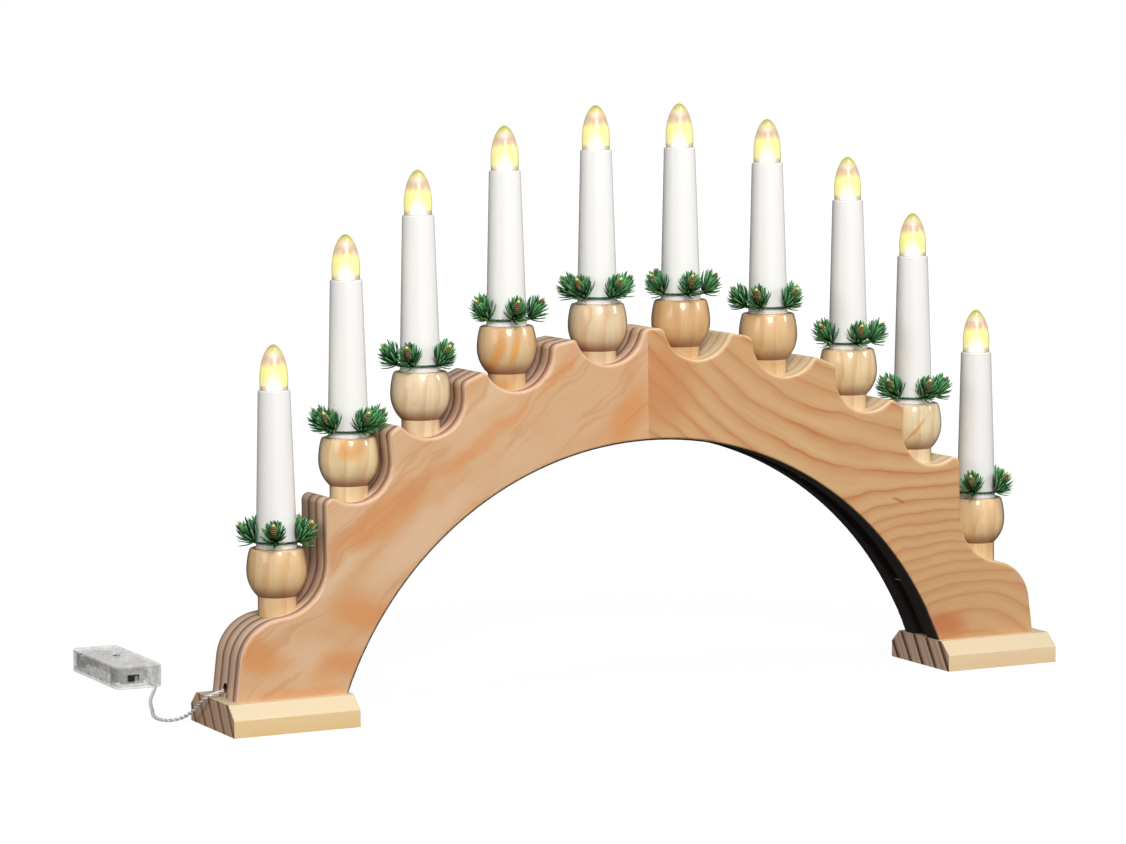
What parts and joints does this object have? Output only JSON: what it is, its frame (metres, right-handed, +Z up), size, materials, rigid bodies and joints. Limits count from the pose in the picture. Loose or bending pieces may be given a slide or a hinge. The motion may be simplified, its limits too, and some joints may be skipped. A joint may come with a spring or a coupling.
{
  "type": "battery candle arch",
  "caption": "Wooden arch with a scalloped top, electric candles in turned cups with small wreaths, and a battery box on a lead.",
  "frame": {"origin": "on the floor, midway between the two feet and on the middle plane of the slab", "axes": "+X to the viewer's right along the arch, +Y away from the viewer through its thickness, +Z up"},
  "size_m": [0.5174, 0.246, 0.321],
  "materials": {
    "arch_wood_left": "satin pine",
    "arch_wood_right": "satin pine",
    "foot_wood": "satin pine",
    "cup_wood": "varnished",
    "dowel_wood": "raw beech",
    "zinc_steel": "zinc plated",
    "spring_steel": "nickel plated",
    "led_resin": "clear epoxy",
    "clear_lens": "clear polished",
    "clear_case": "clear moulded plastic",
    "white_plastic": "moulded",
    "sleeve_plastic": "gloss white",
    "wire_insulation": "vinyl",
    "harness_insulation": "dark vinyl",
    "lead_insulation": "vinyl",
    "switch_grey": "moulded",
    "black_plastic": "moulded",
    "wreath_green": "soft plastic foliage on wire"
  },
  "bodies": {
    "arch": {"arch_left_half": "arch_wood_left", "arch_right_half": "arch_wood_right", "battery_case_shell": "clear_case", "battery_lead": "lead_insulation", "candle_cup_01": "cup_wood", "candle_cup_02": "cup_wood", "candle_cup_03": "cup_wood", "candle_cup_04": "cup_wood", "candle_cup_05": "cup_wood", "candle_cup_06": "cup_wood", "candle_cup_07": "cup_wood", "candle_cup_08": "cup_wood", "candle_cup_09": "cup_wood", "candle_cup_10": "cup_wood", "candle_sleeve_01": "sleeve_plastic", "candle_sleeve_02": "sleeve_plastic", "candle_sleeve_03": "sleeve_plastic", "candle_sleeve_04": "sleeve_plastic", "candle_sleeve_05": "sleeve_plastic", "candle_sleeve_06": "sleeve_plastic", "candle_sleeve_07": "sleeve_plastic", "candle_sleeve_08": "sleeve_plastic", "candle_sleeve_09": "sleeve_plastic", "candle_sleeve_10": "sleeve_plastic", "case_wires": "wire_insulation", "contact_plates": "spring_steel", "contact_springs": "spring_steel", "flame_lens_01": "clear_lens", "flame_lens_02": "clear_lens", "flame_lens_03": "clear_lens", "flame_lens_04": "clear_lens", "flame_lens_05": "clear_lens", "flame_lens_06": "clear_lens", "flame_lens_07": "clear_lens", "flame_lens_08": "clear_lens", "flame_lens_09": "clear_lens", "flame_lens_10": "clear_lens", "foot_screws": "zinc_steel", "harness_trunk": "harness_insulation", "joint_dowels": "dowel_wood", "lamp_leads": "wire_insulation", "led_holders": "white_plastic", "leds": "led_resin", "left_foot": "foot_wood", "right_foot": "foot_wood", "switch_body": "switch_grey", "wire_staples": "zinc_steel"},
    "wreath_01": {"wreath_01": "wreath_green"},
    "wreath_02": {"wreath_02": "wreath_green"},
    "wreath_03": {"wreath_03": "wreath_green"},
    "wreath_04": {"wreath_04": "wreath_green"},
    "wreath_05": {"wreath_05": "wreath_green"},
    "wreath_06": {"wreath_06": "wreath_green"},
    "wreath_07": {"wreath_07": "wreath_green"},
    "wreath_08": {"wreath_08": "wreath_green"},
    "wreath_09": {"wreath_09": "wreath_green"},
    "wreath_10": {"wreath_10": "wreath_green"},
    "battery_lid": {"battery_cover": "clear_case"},
    "lid_screw": {"cover_screw": "zinc_steel"},
    "slider": {"switch_slider": "black_plastic"}
  },
  "joints": [
    {"name": "wreath_01_lift", "type": "slide", "parent": "arch", "child": "wreath_01", "axis": [0, 0, 1], "range_m": [0, 0.11]},
    {"name": "wreath_02_lift", "type": "slide", "parent": "arch", "child": "wreath_02", "axis": [0, 0, 1], "range_m": [0, 0.11]},
    {"name": "wreath_03_lift", "type": "slide", "parent": "arch", "child": "wreath_03", "axis": [0, 0, 1], "range_m": [0, 0.11]},
    {"name": "wreath_04_lift", "type": "slide", "parent": "arch", "child": "wreath_04", "axis": [0, 0, 1], "range_m": [0, 0.11]},
    {"name": "wreath_05_lift", "type": "slide", "parent": "arch", "child": "wreath_05", "axis": [0, 0, 1], "range_m": [0, 0.11]},
    {"name": "wreath_06_lift", "type": "slide", "parent": "arch", "child": "wreath_06", "axis": [0, 0, 1], "range_m": [0, 0.11]},
    {"name": "wreath_07_lift", "type": "slide", "parent": "arch", "child": "wreath_07", "axis": [0, 0, 1], "range_m": [0, 0.11]},
    {"name": "wreath_08_lift", "type": "slide", "parent": "arch", "child": "wreath_08", "axis": [0, 0, 1], "range_m": [0, 0.11]},
    {"name": "wreath_09_lift", "type": "slide", "parent": "arch", "child": "wreath_09", "axis": [0, 0, 1], "range_m": [0, 0.11]},
    {"name": "wreath_10_lift", "type": "slide", "parent": "arch", "child": "wreath_10", "axis": [0, 0, 1], "range_m": [0, 0.11]},
    {"name": "battery_lid_lift", "type": "slide", "parent": "arch", "child": "battery_lid", "axis": [0, 0, 1], "range_m": [0, 0.02]},
    {"name": "lid_screw_turn", "type": "hinge", "parent": "battery_lid", "child": "lid_screw", "pos_m": [-0.24, 0.17625, 0.0125], "axis": [0, 0, 1], "continuous": true},
    {"name": "switch_slide", "type": "slide", "parent": "arch", "child": "slider", "axis": [1, 0, 0], "range_m": [0, 0.003]}
  ]
}
